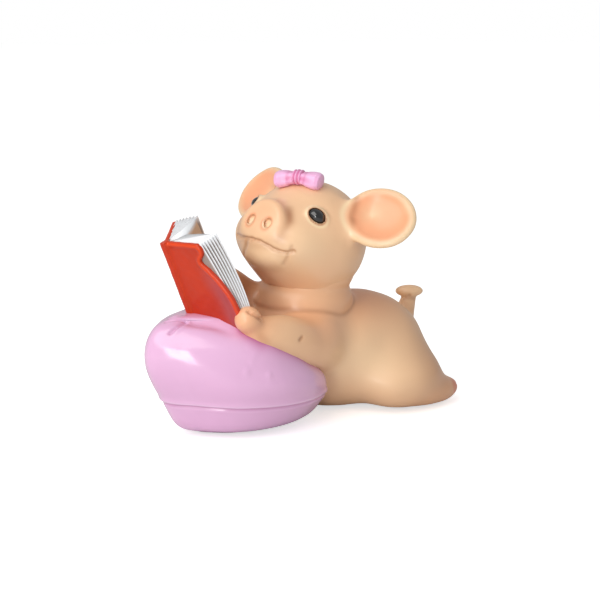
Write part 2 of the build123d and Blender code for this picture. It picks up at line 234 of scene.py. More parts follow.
def neck_form(points):
    """The roll between the shoulders and the head, filled up to the throat."""
    roll = ball(points, (0, 6.5, 46.1), (18.5, 19, 11.5))
    throat = ball(points, (0, 8.3, 59.5), (20.4, 17.4, 16.0))
    return join(roll, cut(throat, throat_top - points[..., 2], 1), 2)


def body_form(points):
    """Trunk, neck, limbs and tail, blended and flat underneath."""
    form = trunk_form(points)
    for side in (1, -1):
        haunch = ball(points, (side * 22.7, 37.7, 12.8), (15, 19, 12), turn(z=side * 8))
        place, splay = hind_feet[side]
        form = join(join(form, haunch, 9), ball(points, place, (7, 12.5, 5.0), splay), 7)
    form = join(form, neck_form(points), 4.5)
    for side in (1, -1):
        reach = hands[side] - shoulders[side]
        middle = shoulders[side] + 0.34 * reach - (0, 0, arm_sags[side])
        half_length = 0.68 * norm(reach)
        arm = ball(points, middle, (arm_girth, arm_girth, half_length), along(reach))
        form = join(form, arm, 7)
        form = join(form, ball(points, hands[side], [hand_radius] * 3), 3)
    form = join(form, off_path(points, tail_path, tail_radii), 4)
    form = join(form, ball(points, curl_place, (3.2, 5.8, 2.6), turn(z=-40)), 0.8)
    return cut(form, points[..., 2] - belly_level, 1.2)


def laid_on(form, path):
    """A path brought down onto a form, with points added between its knots."""
    path = np.array(path, float)
    shares = np.arange(0, 1, 0.25)[:, None]
    runs = [start + (end - start) * shares for start, end in zip(path, path[1:])]
    points = np.concatenate([*runs, path[-1:]])
    for _ in range(5):
        normal, rate = slope_of(form, points)
        points -= normal * (form(points) / rate)[:, None]
    return points


hand_cleft = ((24, -40.2, 50), (25, -39.5, 49.4), (25.8, -37, 47.7), (24.5, -34.6, 46.4))
far_cleft = ((-22.5, -30, 60), (-23.6, -27.5, 59), (-23.6, -24.5, 57.4))
chip = ((29.3, -20.5, 37.4), (29.0, -19.2, 38.2))
tail_crease = ((4, 60.9, 40.0), (0.7, 60.7, 39.0), (3, 64.9, 38.6))
hoof_cleft = ((30.5, 65.6, 9.5), (30.9, 67.2, 6.5), (30.7, 66.4, 3.6))
hand_cleft, far_cleft, chip, tail_crease, hoof_cleft = (
    laid_on(body_form, path) for path in (hand_cleft, far_cleft, chip, tail_crease, hoof_cleft)
)


def neck_crease(points):
    """A soft line where the neck's roll meets the trunk."""
    gap = neck_form(points) - trunk_form(points)
    return band(gap, 0, 1.1) * (neck_form(points) < 2.5)


def body_depth(points):
    """Creases, clefts and the soft unevenness of hand-finished resin."""
    depth = 0.10 * waves(points, 14, 3) + 0.35 * neck_crease(points)
    for path in (hand_cleft, far_cleft):
        depth += 1.4 * trace(points, path, 0.65)
    for path in (hoof_cleft, mirrored(hoof_cleft)):
        depth += 0.9 * trace(points, path, 0.7)
    depth += 0.5 * trace(points, chip, 0.5) + 0.6 * trace(points, tail_crease, 0.6)
    return depth


body, points = cast("body_skin", body_form, body_depth, (-46, -48, -1), (46, 71, 64), 0.6)

throat_line = ((-13, -14, 51), (-6, -17, 48), (2, -17, 46), (10, -14, 45))
pillow_line = ((26.4, -36.6, 39.9), (29, -34, 36.3), (31.1, -26.3, 32.1), (30.7, -17.3, 26.1))
pillow_line += ((27.7, -7.7, 19.3), (27, -4, 10), (27, -3, 1))
# shade: painted shade in the neck crease, the throat, the tail crease and the hands' clefts, along
# shadow of the book on the far arm and chest. The chip is a real dark chip mark in the same mask.
# the pillow's edge and on the haunches, a little darker on the top of the back, and a painted
shade = 0.35 * neck_crease(points) + 0.12 * trace(points, throat_line, 5)
shade += 0.9 * trace(points, chip, 0.6) + 0.6 * trace(points, tail_crease, 0.8)
shade += 0.8 * spot(points, (-14, -20, 50), (12, 12, 10))
shade += 0.08 * spot(points, (0, 22, 47), (22, 14, 6))
for path in (pillow_line, mirrored(pillow_line)):
    shade += 0.45 * trace(points, path, 2.4)
for path in (hand_cleft, far_cleft):
    shade += trace(points, path, 0.6)
blush = 0.75 * spot(points, (0, 30, 46), (30, 34, 10))
# pale: painted highlight on the tail's curl and along the flanks.
pale = 0.9 * spot(points, curl_place, (8, 8, 4))
hoof = 0.0
for side in (1, -1):
    shade += 0.40 * spot(points, (side * 36, 52, 20), (16, 16, 20))
    blush += 0.8 * spot(points, hands[side], (9, 10, 9))
    blush += 0.5 * spot(points, hind_feet[side][0], (14, 18, 14))
    blush += 0.5 * spot(points, shoulders[side], (14, 14, 10))
    pale += 0.5 * spot(points, (side * 28, 14, 22), (16, 22, 12))
    tip = 0.45 * side * points[:, 0] + 0.9 * points[:, 1] - 66
    tip += 0.6 * waves(points, 5, 9)
    hoof += np.clip(tip / 2.5, 0, 1) * (points[:, 2] < 13)
paint(body, shade=shade, blush=blush, hoof=hoof, pale=pale)


def paint_colour(*screen):
    """A colour as it shows on a screen, made linear for a shader."""
    return [*(c / 12.92 if c <= 0.04045 else ((c + 0.055) / 1.055) ** 2.4 for c in screen), 1.0]


def feed(tree, made, inputs):
    """Set a node's inputs, or link them where they are sockets."""
    for name, value in inputs.items():
        if isinstance(value, bpy.types.NodeSocket):
            tree.links.new(value, made.inputs[name])
        else:
            made.inputs[name].default_value = value


def node(tree, kind, inputs=None, **settings):
    """A new node with its settings and its inputs."""
    made = tree.nodes.new(kind)
    for name, value in settings.items():
        setattr(made, name, value)
    feed(tree, made, inputs or {})
    return made


def calc(tree, operation, first, second, **settings):
    """One step of arithmetic between two values."""
    made = node(tree, "ShaderNodeMath", {0: first, 1: second}, operation=operation, **settings)
    return made.outputs[0]


def clouds(tree, scale, detail, roughness):
    """Noise that is fixed to the piece."""
    place = node(tree, "ShaderNodeTexCoord").outputs["Object"]
    values = {"Vector": place, "Scale": scale, "Detail": detail, "Roughness": roughness}
    return node(tree, "ShaderNodeTexNoise", values).outputs[0]


def new_group(name, inputs, outputs, kind="ShaderNodeTree"):
    """A node group with named inputs and outputs, listed under the kind of their sockets."""
    group = bpy.data.node_groups.new(name, kind)
    for way, sockets in (("INPUT", inputs), ("OUTPUT", outputs)):
        for socket, labels in sockets.items():
            for label in labels:
                group.interface.new_socket(label, in_out=way, socket_type="NodeSocket" + socket)
    given = group.nodes.new("NodeGroupInput").outputs
    return group, given, group.nodes.new("NodeGroupOutput").inputs


# Airbrush: a base coat with a second colour sprayed over it where a mask says, and mottled a
# little.
# The same spraying also lays painted shade and painted highlight.
airbrush, given, result = new_group(
    "airbrush",
    {"Color": ["Base", "Spray"], "Float": ["Mask", "Mottle", "Size"]},
    {"Color": ["Color"]},
)
lean = calc(airbrush, "SUBTRACT", clouds(airbrush, given["Size"], 3.0, 0.55), 0.5)
drift = calc(airbrush, "MULTIPLY", lean, given["Mottle"])
spread = calc(airbrush, "ADD", drift, given["Mask"], use_clamp=True)
layers = {0: spread, 6: given["Base"], 7: given["Spray"]}
sprayed = node(airbrush, "ShaderNodeMix", layers, data_type="RGBA", clamp_result=True)
airbrush.links.new(sprayed.outputs[2], result["Color"])

# Cast surface: brush marks and fine pits under the lacquer, as a height and an uneven gloss
cast_surface, given, result = new_group(
    "cast surface", {"Float": ["Gloss", "Uneven", "Grain"]}, {"Float": ["Roughness", "Height"]}
)
swirl = clouds(cast_surface, 90.0, 4.0, 0.6)
pits = clouds(cast_surface, given["Grain"], 2.0, 0.5)
drift = calc(cast_surface, "MULTIPLY", calc(cast_surface, "SUBTRACT", swirl, 0.5), given["Uneven"])
gloss = calc(cast_surface, "ADD", drift, given["Gloss"], use_clamp=True)
height = calc(cast_surface, "ADD", calc(cast_surface, "MULTIPLY", pits, 0.25), swirl)
cast_surface.links.new(gloss, result["Roughness"])
cast_surface.links.new(height, result["Height"])


def lacquered(name, base, coats, gloss, uneven=0.12, grain=900.0, bump=0.05, clear=(0.3, 0.2)):
    """Resin with coats sprayed over its base colour, under a lacquer of a strength and roughness.
    A coat has a colour, a mask (an attribute's name or a number), its mottle and, where it isn't
    the usual one, the mottle's scale."""
    material = bpy.data.materials.new(name)
    material.use_nodes = True
    tree = material.node_tree
    values = {"Gloss": gloss, "Uneven": uneven, "Grain": grain}
    surface = node(tree, "ShaderNodeGroup", values, node_tree=cast_surface).outputs
    values = {"Height": surface["Height"], "Strength": bump, "Distance": 0.0004}
    relief = node(tree, "ShaderNodeBump", values).outputs["Normal"]
    colour = paint_colour(*base)
    for spray, mask, mottle, *scale in coats:
        if isinstance(mask, str):
            mask = node(tree, "ShaderNodeAttribute", attribute_name=mask).outputs["Fac"]
        values = {"Base": colour, "Spray": paint_colour(*spray), "Mask": mask, "Mottle": mottle}
        values["Size"] = scale[0] if scale else 60.0
        colour = node(tree, "ShaderNodeGroup", values, node_tree=airbrush).outputs["Color"]
    values = {"Base Color": colour, "Roughness": surface["Roughness"], "Normal": relief}
    values |= {"Coat Weight": clear[0], "Coat Roughness": clear[1]}
    feed(tree, tree.nodes["Principled BSDF"], values)
    return material


peach, highlight_cream, umber = (0.93, 0.76, 0.60), (0.96, 0.85, 0.69), (0.62, 0.36, 0.20)
rose_tan, coral = (0.93, 0.66, 0.49), (0.88, 0.50, 0.36)
# The coat on the pale mask is painted highlight; the brown coat on the shade mask is painted shade.
coats = [(highlight_cream, "pale", 0.25), (rose_tan, "blush", 0.15)]
coats += [(coral, "hoof", 0.0), (umber, "shade", 0.05)]
body.data.materials.append(lacquered("peach lacquer", peach, coats, 0.42))
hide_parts("torso", "left_arm", "right_arm", "left_leg", "right_leg", "tail")
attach(body, "root")


# Head: a second casting set on the neck, with the snout, the ears and the eyelids modelled on it.
# Its form is written in the head's own frame, where the piglet looks along -Y.
head_centre = np.array((0, 5.7, 69.6))
head_turn = turn(x=-25, y=4, z=7)
snout_halves, snout_front, snout_rounding = (10.0, 9.3), 26.2, 2.4
seat_halves, ear_halves = (3.7, 2.9, 2.8), (14.5, 4, 12.4)
eye_places, ear_places, nostrils = {}, {}, {}
for side in (1, -1):
    eye_places[side] = np.array((side * 15.7, -14.3, 6.6)), turn(y=side * 22, z=side * 46)
    ear_places[side] = np.array((side * 31.5, 2.2, 14.6)), turn(x=-11, z=side * 17)
    nostrils[side] = np.array((side * 4.2, -snout_front, -2.5))


def snout_form(local):
    """A rounded disc on the front of the face."""
    side = ball(local[..., [0, 2]], (0, -1.6), snout_halves, np.eye(2)) + snout_rounding
    front = -local[..., 1] - snout_front + snout_rounding
    edge = norm(np.maximum(np.stack([side, front], axis=-1), 0), axis=-1)
    disc = np.minimum(np.maximum(side, front), 0) + edge - snout_rounding
    return np.maximum(disc, local[..., 1])


def head_form(points):
    """Skull, muzzle, lower lip, snout, cupped ears and the lids round the eyes."""
    local = (points - head_centre) @ head_turn
    form = ball(local, (0, 1.6, 0), (24.8, 22.4, 23.5))
    form = join(form, ball(local, (0, -11.9, -4.7), (19.5, 15.5, 13)), 6)
    form = join(form, ball(local, (0.5, -18.6, -13.4), (9.5, 5.2, 4.4)), 3)
    form = join(form, snout_form(local), 2.6)
    for nostril in nostrils.values():
        form = cut(form, ball(local, nostril, (1.9, 0.75, 2.2)), 1.0)
    for side in (1, -1):
        centre, placed = eye_places[side]
        form = join(form, ball(local, centre, (4.3, 1.6, 3.6), placed), 2.0)
        form = cut(form, ball(local, centre, seat_halves, placed), 0.4)
        centre, placed = ear_places[side]
        ear = ball(local, centre, ear_halves, placed)
        dish = centre - placed[:, 1] * 3.2 + placed[:, 0] * side * 0.8
        ear = cut(ear, ball(local, dish, (12.0, 4, 10.3), placed), 2.2)
        form = join(form, ear, 4.5)
    return form


mouth = ((-0.5, -26, -9.3), (3.5, -25.8, -9.3), (6.5, -24.6, -10), (8.8, -23.2, -10.7))
mouth += ((11.8, -21.2, -10.7), (13.6, -20, -10.1), (15, -19.2, -9))
far_mouth = ((-0.5, -26, -9.3), (-4, -25.5, -9.1), (-8, -24, -8.7), (-12, -21, -8.0))
chin_crease = ((-3.4, -25.4, -10), (-5, -22.4, -13.4), (-8.3, -15.1, -16.6))
dimple = ((14.6, -20.5, -7.9), (13, -19, -11.7), (10.8, -17.5, -14))


def on_head(path):
    """A path brought down onto the head, in the head's own frame."""
    world = np.array(path) @ head_turn.T + head_centre
    return (laid_on(head_form, world) - head_centre) @ head_turn


mouth, far_mouth, chin_crease, dimple = map(on_head, (mouth, far_mouth, chin_crease, dimple))


def head_depth(points):
    """Mouth line, chin crease, dimples, the dents in the ears and soft unevenness."""
    local = (points - head_centre) @ head_turn
    depth = 0.10 * waves(local, 12, 5)
    depth += 0.95 * trace(local, mouth, 0.6) + 0.8 * trace(local, far_mouth, 0.6)
    depth += 0.5 * trace(local, chin_crease, 0.8)
    for path in (dimple, mirrored(dimple)):
        depth += 0.35 * trace(local, path, 0.8)
    for side in (1, -1):
        centre, placed = ear_places[side]
        in_ear = (local - centre) @ placed
        depth += 0.8 * spot(in_ear, (-side * 4.5, 0.5, 0.6), (3.4, 3.0, 3.2))
    return depth


head, points = cast("head_skin", head_form, head_depth, (-49, -24, 42), (49, 34, 99), 0.5)

local = (points - head_centre) @ head_turn
# at the snout's sides and the ear roots, and in a ring round each eye's seat and each nostril.
# shade: painted shade in the chin crease and under the chin, along the mouth line and the dimples,
shade = 0.4 * trace(local, chin_crease, 1.0) + 0.10 * np.clip((-local[:, 2] - 14) / 12, 0, 1)
for path in (mouth, far_mouth):
    shade += 0.75 * trace(local, path, 0.8)
for path in (dimple, mirrored(dimple)):
    shade += 0.22 * trace(local, path, 0.9)
blush = 0.12 * np.clip(-local[:, 2] / 22, 0, 1) + 0.3 * spot(local, (0, -26, 3), (11, 4, 6))
# nostrils' centres.
# pale: painted highlight on the chin, the cheeks, the lids round the eyes, the ears' rims and the
pale = 0.55 * spot(local, (3, -19, -15), (12, 9, 8))
for side in (1, -1):
    snout_side = ((side * 8, -22.5, 7), (side * 10.8, -22.6, 1), (side * 10.4, -23, -6))
    ear_root = ((side * 21, -2, 19), (side * 23.5, -4, 12), (side * 24, -1, 5))
    shade += 0.7 * trace(local, snout_side, 1.9) + 0.45 * trace(local, ear_root, 1.5)
    centre, placed = eye_places[side]
    at_eye = (local - centre) @ placed
    ring = norm(at_eye[:, [0, 2]] / (seat_halves[0], seat_halves[2]), axis=1)
    shade += 0.8 * band(ring, 1.0, 0.10) * (np.abs(at_eye[:, 1]) < 3)
    pale += 0.9 * band(ring, 1.28, 0.16) * (np.abs(at_eye[:, 1]) < 3)
    centre, placed = ear_places[side]
    in_ear = (local - centre) @ placed
    rim = norm(in_ear[:, [0, 2]] / (ear_halves[0], ear_halves[2]), axis=1)
    inner = np.clip((0.91 - rim + 0.04 * waves(in_ear, 9, 17)) / 0.22, 0, 1)
    inner *= in_ear[:, 1] < 1.8
    # The ear's blush is left paler at its dent, a painted highlight.
    blush += 0.95 * inner * (1 - 0.8 * spot(in_ear, (-side * 4.5, 0, 0.6), (4, 9, 4)))
    pale += 0.8 * band(rim, 0.97, 0.07) * (in_ear[:, 1] < 2)
    nostril = norm((local - nostrils[side])[:, [0, 2]] / (1.9, 2.3), axis=1)
    on_disc = local[:, 1] < -24
    blush += 0.8 * band(nostril, 1.15, 0.28) * on_disc
    shade += 0.3 * band(nostril, 1.05, 0.16) * on_disc
    pale += 0.9 * np.exp(-((nostril / 0.8) ** 4)) * on_disc
    pale += 0.35 * spot(local, (side * 18, -16, -6), (9, 8, 9))
paint(head, shade=shade, blush=blush, pale=pale)

# The coat on the pale mask is painted highlight; the brown coat on the shade mask is painted shade.
coats = [((0.95, 0.66, 0.49), "blush", 0.12), (highlight_cream, "pale", 0.12), (umber, "shade", 0.04)]
head.data.materials.append(lacquered("peach lacquer with blush", peach, coats, 0.38))
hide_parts("head", "left_ear", "right_ear")
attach(head, "root")


# Eyes: small black domes of resin under a deep clear lacquer, a little fuller at the middle.
# Each is glued in its seat in the head.
def dome_form(middle, placed):
    """A dome that stands out of its seat."""
    bulge = middle - placed[:, 1] * 0.7

    def form(points):
        dome = ball(points, middle, (3.6, 2.1, 2.75), placed)
        return join(dome, ball(points, bulge, (2.3, 1.75, 1.8), placed), 1.0)

    return form


black, coats = (0.015, 0.015, 0.02), [((0.08, 0.10, 0.13), 0.0, 0.4, 260.0)]
eye_paint = lacquered("black lacquer", black, coats, 0.10, 0.05, 1500.0, 0.02, clear=(1.0, 0.04))
for name, side in (("left_eye", 1), ("right_eye", -1)):
    centre, placed = eye_places[side]
    middle = head_centre + head_turn @ centre
    form, low, high = dome_form(middle, head_turn @ placed), middle - 4.5, middle + 4.5
    eye, _ = cast(name + "_dome", form, lambda points: 0 * points[..., 0], low, high, 0.16)
    eye.data.materials.append(eye_paint)
    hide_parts(name)
    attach(eye, "root")


# Bow: a ribbon bow cast in three pieces, a gathered knot and two puffed loops, painted pink, with
# deeper pink painted shade in the creases and over the knot. Each is a skin lofted through closed
# sections along the bow's length.
bow_turn = head_turn @ turn(x=35) @ turn(z=18)
bow_centre = head_centre + head_turn @ turn(x=35) @ np.array((0, 0, 24.8))


def loft(name, sections):
    """A closed skin through rings of points, with a point in the middle of each end."""
    sections = np.array(sections)
    rings, around = sections.shape[:2]
    index = np.arange(rings * around).reshape(rings, around)
    following = np.roll(index, -1, axis=1)
    faces = np.stack([index[:-1], following[:-1], following[1:], index[1:]], axis=-1)
    faces = faces.reshape(-1, 4).tolist()
    first, last = rings * around, rings * around + 1
    faces += [(first, b, a) for a, b in zip(index[0], following[0])]
    faces += [(last, a, b) for a, b in zip(index[-1], following[-1])]
    middles = [sections[0].mean(axis=0)], [sections[-1].mean(axis=0)]
    points = np.concatenate([sections.reshape(-1, 3), *middles])
    return mesh_of(name, points, faces), points


# The deeper pink coat on the fold mask is painted shade.
pink, coats = (0.95, 0.72, 0.88), [((0.84, 0.42, 0.62), "fold", 0.15, 160.0)]
bow_paint = lacquered("pink lacquer", pink, coats, 0.34, clear=(0.4, 0.2))

bow_sides = 96
angles = np.linspace(0, 2 * math.pi, bow_sides, endpoint=False)


def bow_ring(place, width, height):
    """One closed section of the bow, in its own frame."""
    flat = width * np.cos(angles), height * np.sin(angles)
    return np.column_stack([np.full(bow_sides, place), *flat])


loop_length, loop_width, loop_height = 10.0, 4.2, 3.4
loop_shares = (0, 0.2, 0.38, 0.6, 0.8, 0.93, 1.0)
loop_swells = (0.5, 0.72, 0.87, 0.98, 1.0, 0.86, 0.30)
for name, side in (("left_bow_loop", 1), ("right_bow_loop", -1)):
    loop_turn = bow_turn @ turn(y=side * 9)
    sections, fold_shade = [], []
    for share in np.linspace(0, 1, 56):
        pleat = 0.09 * np.cos(5 * angles + 1.2) * (1 - share) ** 1.2
        pleat += 0.03 * np.cos(3 * angles + 2 * share)
        fold = 0.05 * band(share, 0.34, 0.07)
        radius = np.interp(share, loop_shares, loop_swells) * (1 + pleat - fold)
        ring = bow_ring(share * loop_length * side, loop_width * radius, loop_height * radius)
        sections.append(bow_centre + ring[:: side] @ loop_turn.T)
        # Painted shade: most at the loop's root by the knot, in the pleats' hollows and at the
        # pinch.
        fold_shade.append((0.55 * (1 - share) ** 2 - 3 * pleat + 6 * fold)[:: side])
    loop, _ = loft(name + "_puff", sections)
    paint(loop, fold=np.append(np.concatenate(fold_shade), (0.5, 0.2)))
    loop.data.materials.append(bow_paint)
    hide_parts(name)
    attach(loop, "root")

sections, fold_shade = [], []
for share in np.linspace(-1, 1, 60):
    swell = max(1 - share**4, 0.0) ** 0.5 * (1 + 0.07 * math.cos(11 * share)) + 0.04
    ring = bow_ring(2.6 * share, 3.2 * swell, 2.8 * swell)
    sections.append(bow_centre + ring @ bow_turn.T)
    # Painted shade over the whole knot, deepest in its gathers.
    fold_shade.append(np.full(bow_sides, 0.62 - 0.35 * math.cos(11 * share)))
knot, _ = loft("bow_knot_gather", sections)
paint(knot, fold=np.append(np.concatenate(fold_shade), (0.8, 0.8)))
knot.data.materials.append(bow_paint)
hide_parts("bow_knot")
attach(knot, "root")


# Pillow: a stuffed heart with its point forward, cast hard and painted orchid pink. Heart outlines
# that swell from the base to the crown carry its skin, with the sunk seam and the pulled creases
# at the book's foot carved in.
pillow_y, pillow_base, pillow_rise = -32.9, 0.8, 45.4
pillow_half_width, pillow_half_length = 35.0, 38.0
pillow_tilt, seam_share = math.tan(math.radians(1.5)), 0.27
heart_side = ((0.40, -0.78), (0.80, -0.38), (1.0, 0.14), (0.92, 0.60), (0.62, 0.93), (0.28, 0.93))
pillow_stations = (
    (0.0, 0.36, 0.36, 0.60),
    (0.09, 0.67, 0.60, 0.86),
    (0.27, 0.85, 0.73, 0.98),
    (0.42, 0.92, 0.84, 0.91),
    (0.60, 0.88, 0.93, 0.68),
    (0.78, 0.79, 0.92, 0.42),
    (0.91, 0.63, 0.82, 0.22),
    (0.985, 0.42, 0.60, 0.08),
)


def smooth_path(knots, count, closed=False):
    """Points spaced along a smooth curve through knots."""
    knots = np.array(knots, float)
    if closed:
        knots = np.concatenate([knots[-3:], knots, knots[:4]])
    gaps = norm(np.diff(knots, axis=0), axis=1)
    when = np.concatenate([[0], np.cumsum(gaps)])
    slopes = np.gradient(knots, when, axis=0, edge_order=1)
    first, last = (when[3], when[-4]) if closed else (when[0], when[-1])
    ask = np.linspace(first, last, count, endpoint=not closed)
    run = np.clip(np.searchsorted(when, ask, side="right") - 1, 0, len(gaps) - 1)
    gap = gaps[run][:, None]
    t = ((ask - when[run]) / gaps[run])[:, None]
    a, b = knots[run], knots[run + 1]
    return (
        a * (2 * t**3 - 3 * t**2 + 1)
        + b * (3 * t**2 - 2 * t**3)
        + slopes[run] * gap * (t**3 - 2 * t**2 + t)
        + slopes[run + 1] * gap * (t**3 - t**2)
    )


def heart(width, point, lobe, count=360):
    """One heart outline, from its point round one lobe to the notch and back."""
    long, short = pillow_half_length, pillow_half_width
    side = [(x * width * short, y * (point if y < 0 else lobe) * long) for x, y in heart_side]
    other = [(-x, y) for x, y in reversed(side)]
    notch = (0, 0.76 * lobe * long)
    return smooth_path([(0, -point * long), *side, notch, *other], count, closed=True)


lower = smooth_path(pillow_stations[:3], 60)
upper = smooth_path(pillow_stations[2:], 130)
sections = []
for rise, width, point, lobe in [(0.0, 0.34, 0.34, 0.58), *lower, *upper[1:]]:
    outline = heart(width, point, lobe)
    tilt = pillow_tilt * min(rise / seam_share, 1)
    height = pillow_base + rise * pillow_rise - tilt * outline[:, 1]
    sections.append(np.column_stack([outline[:, 0], outline[:, 1] + pillow_y, height]))
crown = np.array((0, pillow_y - 0.30 * pillow_half_length, pillow_base + pillow_rise))
outer = sections[-1]
for share in (0.75, 0.5, 0.25, 0.08):
    ring = crown + (outer - crown) * share
    ring[:, 2] = crown[2] - (crown[2] - outer[:, 2]) * share**2
    sections.append(ring)
sections = np.array(sections)

across = np.gradient(sections, axis=0)
around = np.roll(sections, -1, axis=1) - np.roll(sections, 1, axis=1)
outward = np.cross(around, across)
outward /= np.maximum(norm(outward, axis=-1, keepdims=True), 1e-9)

level = sections[..., 2] + pillow_tilt * (sections[..., 1] - pillow_y) - pillow_base
seam_rise = (level / pillow_rise - seam_share) * pillow_rise
book_creases = (
    ((4.7, -54.4, 45.5), (5.7, -58.7, 44), (5.6, -62.2, 41.9)),
    ((3.9, -53.9, 45.7), (2.1, -57.1, 45.5), (-0.1, -60, 45.2)),
    ((0, -53.8, 46.2), (-2.4, -56.6, 45.8)),
)
book_foot = ((5.6, -53.3, 45.5), (13.2, -47.5, 44.5), (23.5, -42.6, 44.4))
ripples = ((25.7, -41.1, 37.9), (27.5, -39.8, 35.4), (27.7, -41.3, 32.7))
ripples += ((27.1, -43.6, 28.5), (30.6, -35.8, 26.8))
depth = 1.1 * band(seam_rise, 0, 0.5) - 0.35 * band(seam_rise, 1.5, 0.9)
depth += 0.10 * waves(sections, 22, 11) + 0.02 * waves(sections, 5, 12)
for path in book_creases:
    depth += 0.7 * trace(sections, path, 0.7)
    depth -= 0.25 * trace(sections, np.array(path) + (1.2, 0.6, 0), 0.9)
depth += 1.4 * trace(sections, book_foot, 3.2)
for place in ripples:
    depth -= 0.35 * spot(sections, place, (1.2, 1.2, 1.6))
    depth += 0.25 * spot(sections, np.array(place) + (0.6, -1.6, 0.6), (1.2, 1.2, 1.6))
sections = sections - outward * depth[..., None]
sections[..., 2] = np.maximum(sections[..., 2], pillow_base)

pillow, points = loft("pillow_skin", sections)
# Painted shade: darker where the pillow meets the body, along the creases at the book's foot, under
# the near hand and in the seam; and a painted highlight on the raised band just above the seam.
contact = np.exp(-np.clip(body_form(points), 0, None) / 1.6)
seam = np.append(band(seam_rise.ravel(), 0, 0.35), (0, 0))
bead = np.append(band(seam_rise.ravel(), 1.2, 0.5), (0, 0))
fold_shade = sum(trace(points, path, 0.6) for path in book_creases)
fold_shade += 0.5 * trace(points, ((21.5, -42.4, 42.9), (27.5, -37, 37.6)), 2.4)
paint(pillow, contact=0.75 * contact + 0.5 * fold_shade + 0.35 * seam, bead=0.5 * bead)

orchid, coats = (0.90, 0.72, 0.86), [((0.82, 0.60, 0.76), 0.15, 0.5, 38.0)]
# The paler coat is painted highlight above the seam; the hot-pink coat is painted shade.
coats += [((0.97, 0.84, 0.95), "bead", 0.1), ((0.72, 0.36, 0.55), "contact", 0.05)]
orchid_paint = lacquered("orchid lacquer", orchid, coats, 0.24, 0.16, bump=0.06, clear=(0.5, 0.11))
pillow.data.materials.append(orchid_paint)
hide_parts("pillow")
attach(pillow, "root")


# Book cover: two boards and a spine, cast thick with a raised rim along their edges, painted a
# glossy orange red. Each board's fore-edge is carved back under the pages.
book_place = np.array((-1.995, -46.39, 43.89))
book_turn = turn(x=20, z=-20)
board_width, board_height, board_sunk, board_thickness = 26.0, 31.5, 9.0, 1.6
cover_angle = math.radians(58)
fore_edge = ((0.60, 1.0), (0.65, 0.93), (0.64, 0.86), (0.56, 0.77))
fore_edge = np.array((*fore_edge, (0.66, 0.64), (0.79, 0.46), (0.90, 0.2), (0.92, 0.0)))


def board_outline(side):
    """A board's outline. Its top slopes down on the near board and up on the far one."""
    edge = fore_edge * board_width
    edge[:, 1] = fore_edge[:, 1] * (board_height - side * 0.17 * edge[:, 0])
    foot = [(0.9 * board_width, -board_sunk), (0, -board_sunk), (0, board_height)]
    return np.concatenate([smooth_path(edge, 48), foot])


board_outlines = {side: board_outline(side) for side in (1, -1)}


def off_outline(flat, outline):
    """Distance from flat points to a closed outline, less than nothing inside it."""
    nearest = np.full(flat.shape[:-1], 1e9)
    within = np.zeros(flat.shape[:-1], bool)
    for (ax, az), (bx, bz) in zip(outline, np.roll(outline, -1, axis=0)):
        run = np.array((bx - ax, bz - az))
        share = np.clip((flat - (ax, az)) @ run / max(run @ run, 1e-9), 0, 1)
        gap = flat - (ax, az) - share[..., None] * run
        nearest = np.minimum(nearest, (gap**2).sum(axis=-1))
        if az != bz:
            level = (bx - ax) * (flat[..., 1] - az) / (bz - az) + ax
            within ^= ((az > flat[..., 1]) != (bz > flat[..., 1])) & (flat[..., 0] < level)
    return np.sqrt(nearest) * np.where(within, -1, 1)


def board_frame(points, side):
    """Points seen from one board: across it, up it and in from its outer face."""
    local = (points - book_place) @ book_turn
    sine, cosine = math.sin(cover_angle), math.cos(cover_angle)
    across = side * sine * local[..., 0] + cosine * local[..., 1]
    inward = -side * cosine * local[..., 0] + sine * local[..., 1]
    return np.stack([across, local[..., 2]], axis=-1), inward


def cover_form(points):
    """Both boards with their rims, and the round spine between them."""
    local = (points - book_place) @ book_turn
    spine = norm(local[..., :2], axis=-1) - board_thickness
    above_middle = np.abs(local[..., 2] - (board_height - board_sunk) / 2)
    form = np.maximum(spine, above_middle - (board_height + board_sunk) / 2)
    half, rounding = board_thickness / 2, 0.5
    for side in (1, -1):
        flat, inward = board_frame(points, side)
        edge = off_outline(flat, board_outlines[side])
        rim = 0.35 * band(edge, -1.1, 0.8)
        face = np.abs(inward - half + rim / 2) - half - rim / 2
        corner = np.maximum(np.stack([edge, face], axis=-1) + rounding, 0)
        board = norm(corner, axis=-1) - rounding
        board += np.minimum(np.maximum(edge, face) + rounding, 0)
        form = join(form, board, 0.6)
    return form


def cover_depth(points):
    """Tool marks of the carved mould."""
    return 0.05 * waves(points, 6, 21) + 0.03 * waves(points, 2.5, 22)


low, high = (-28, -64, 33), (26, -28, 82)
cover, points = cast("book_cover_boards", cover_form, cover_depth, low, high, 0.36)
# Painted light on the boards: painted shade low on each board toward the fore-edge, where it turns
# away, and a painted highlight along the rim.
crimson, rim = 0.0, 0.0
for side in (1, -1):
    flat, inward = board_frame(points, side)
    edge = off_outline(flat, board_outlines[side])
    here = np.abs(inward - 0.6) < 1.6
    low_outside = np.clip((25 - flat[:, 1]) / 8, 0, 1) * np.clip((flat[:, 0] - 11) / 8, 0, 1)
    rim += band(edge, -0.7, 0.7) * here
    crimson += band(edge, -4.2, 4.0) * low_outside * here
paint(cover, crimson=0.8 * crimson, rim=0.8 * rim)

red, coats = (0.78, 0.19, 0.0), [((0.64, 0.15, 0.02), 0.3, 0.9, 70.0)]
# The pinkish red coat is painted shade; the brighter orange coat on the rim mask is painted
# highlight.
coats += [((0.66, 0.30, 0.31), "crimson", 0.2), ((0.88, 0.27, 0.05), "rim", 0.2)]
red_paint = lacquered("orange red lacquer", red, coats, 0.36, 0.2, bump=0.08, clear=(0.2, 0.12))
red_paint.node_tree.nodes["Principled BSDF"].inputs["Specular IOR Level"].default_value = 0.3
cover.data.materials.append(red_paint)
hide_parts("book_cover")
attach(cover, "root")


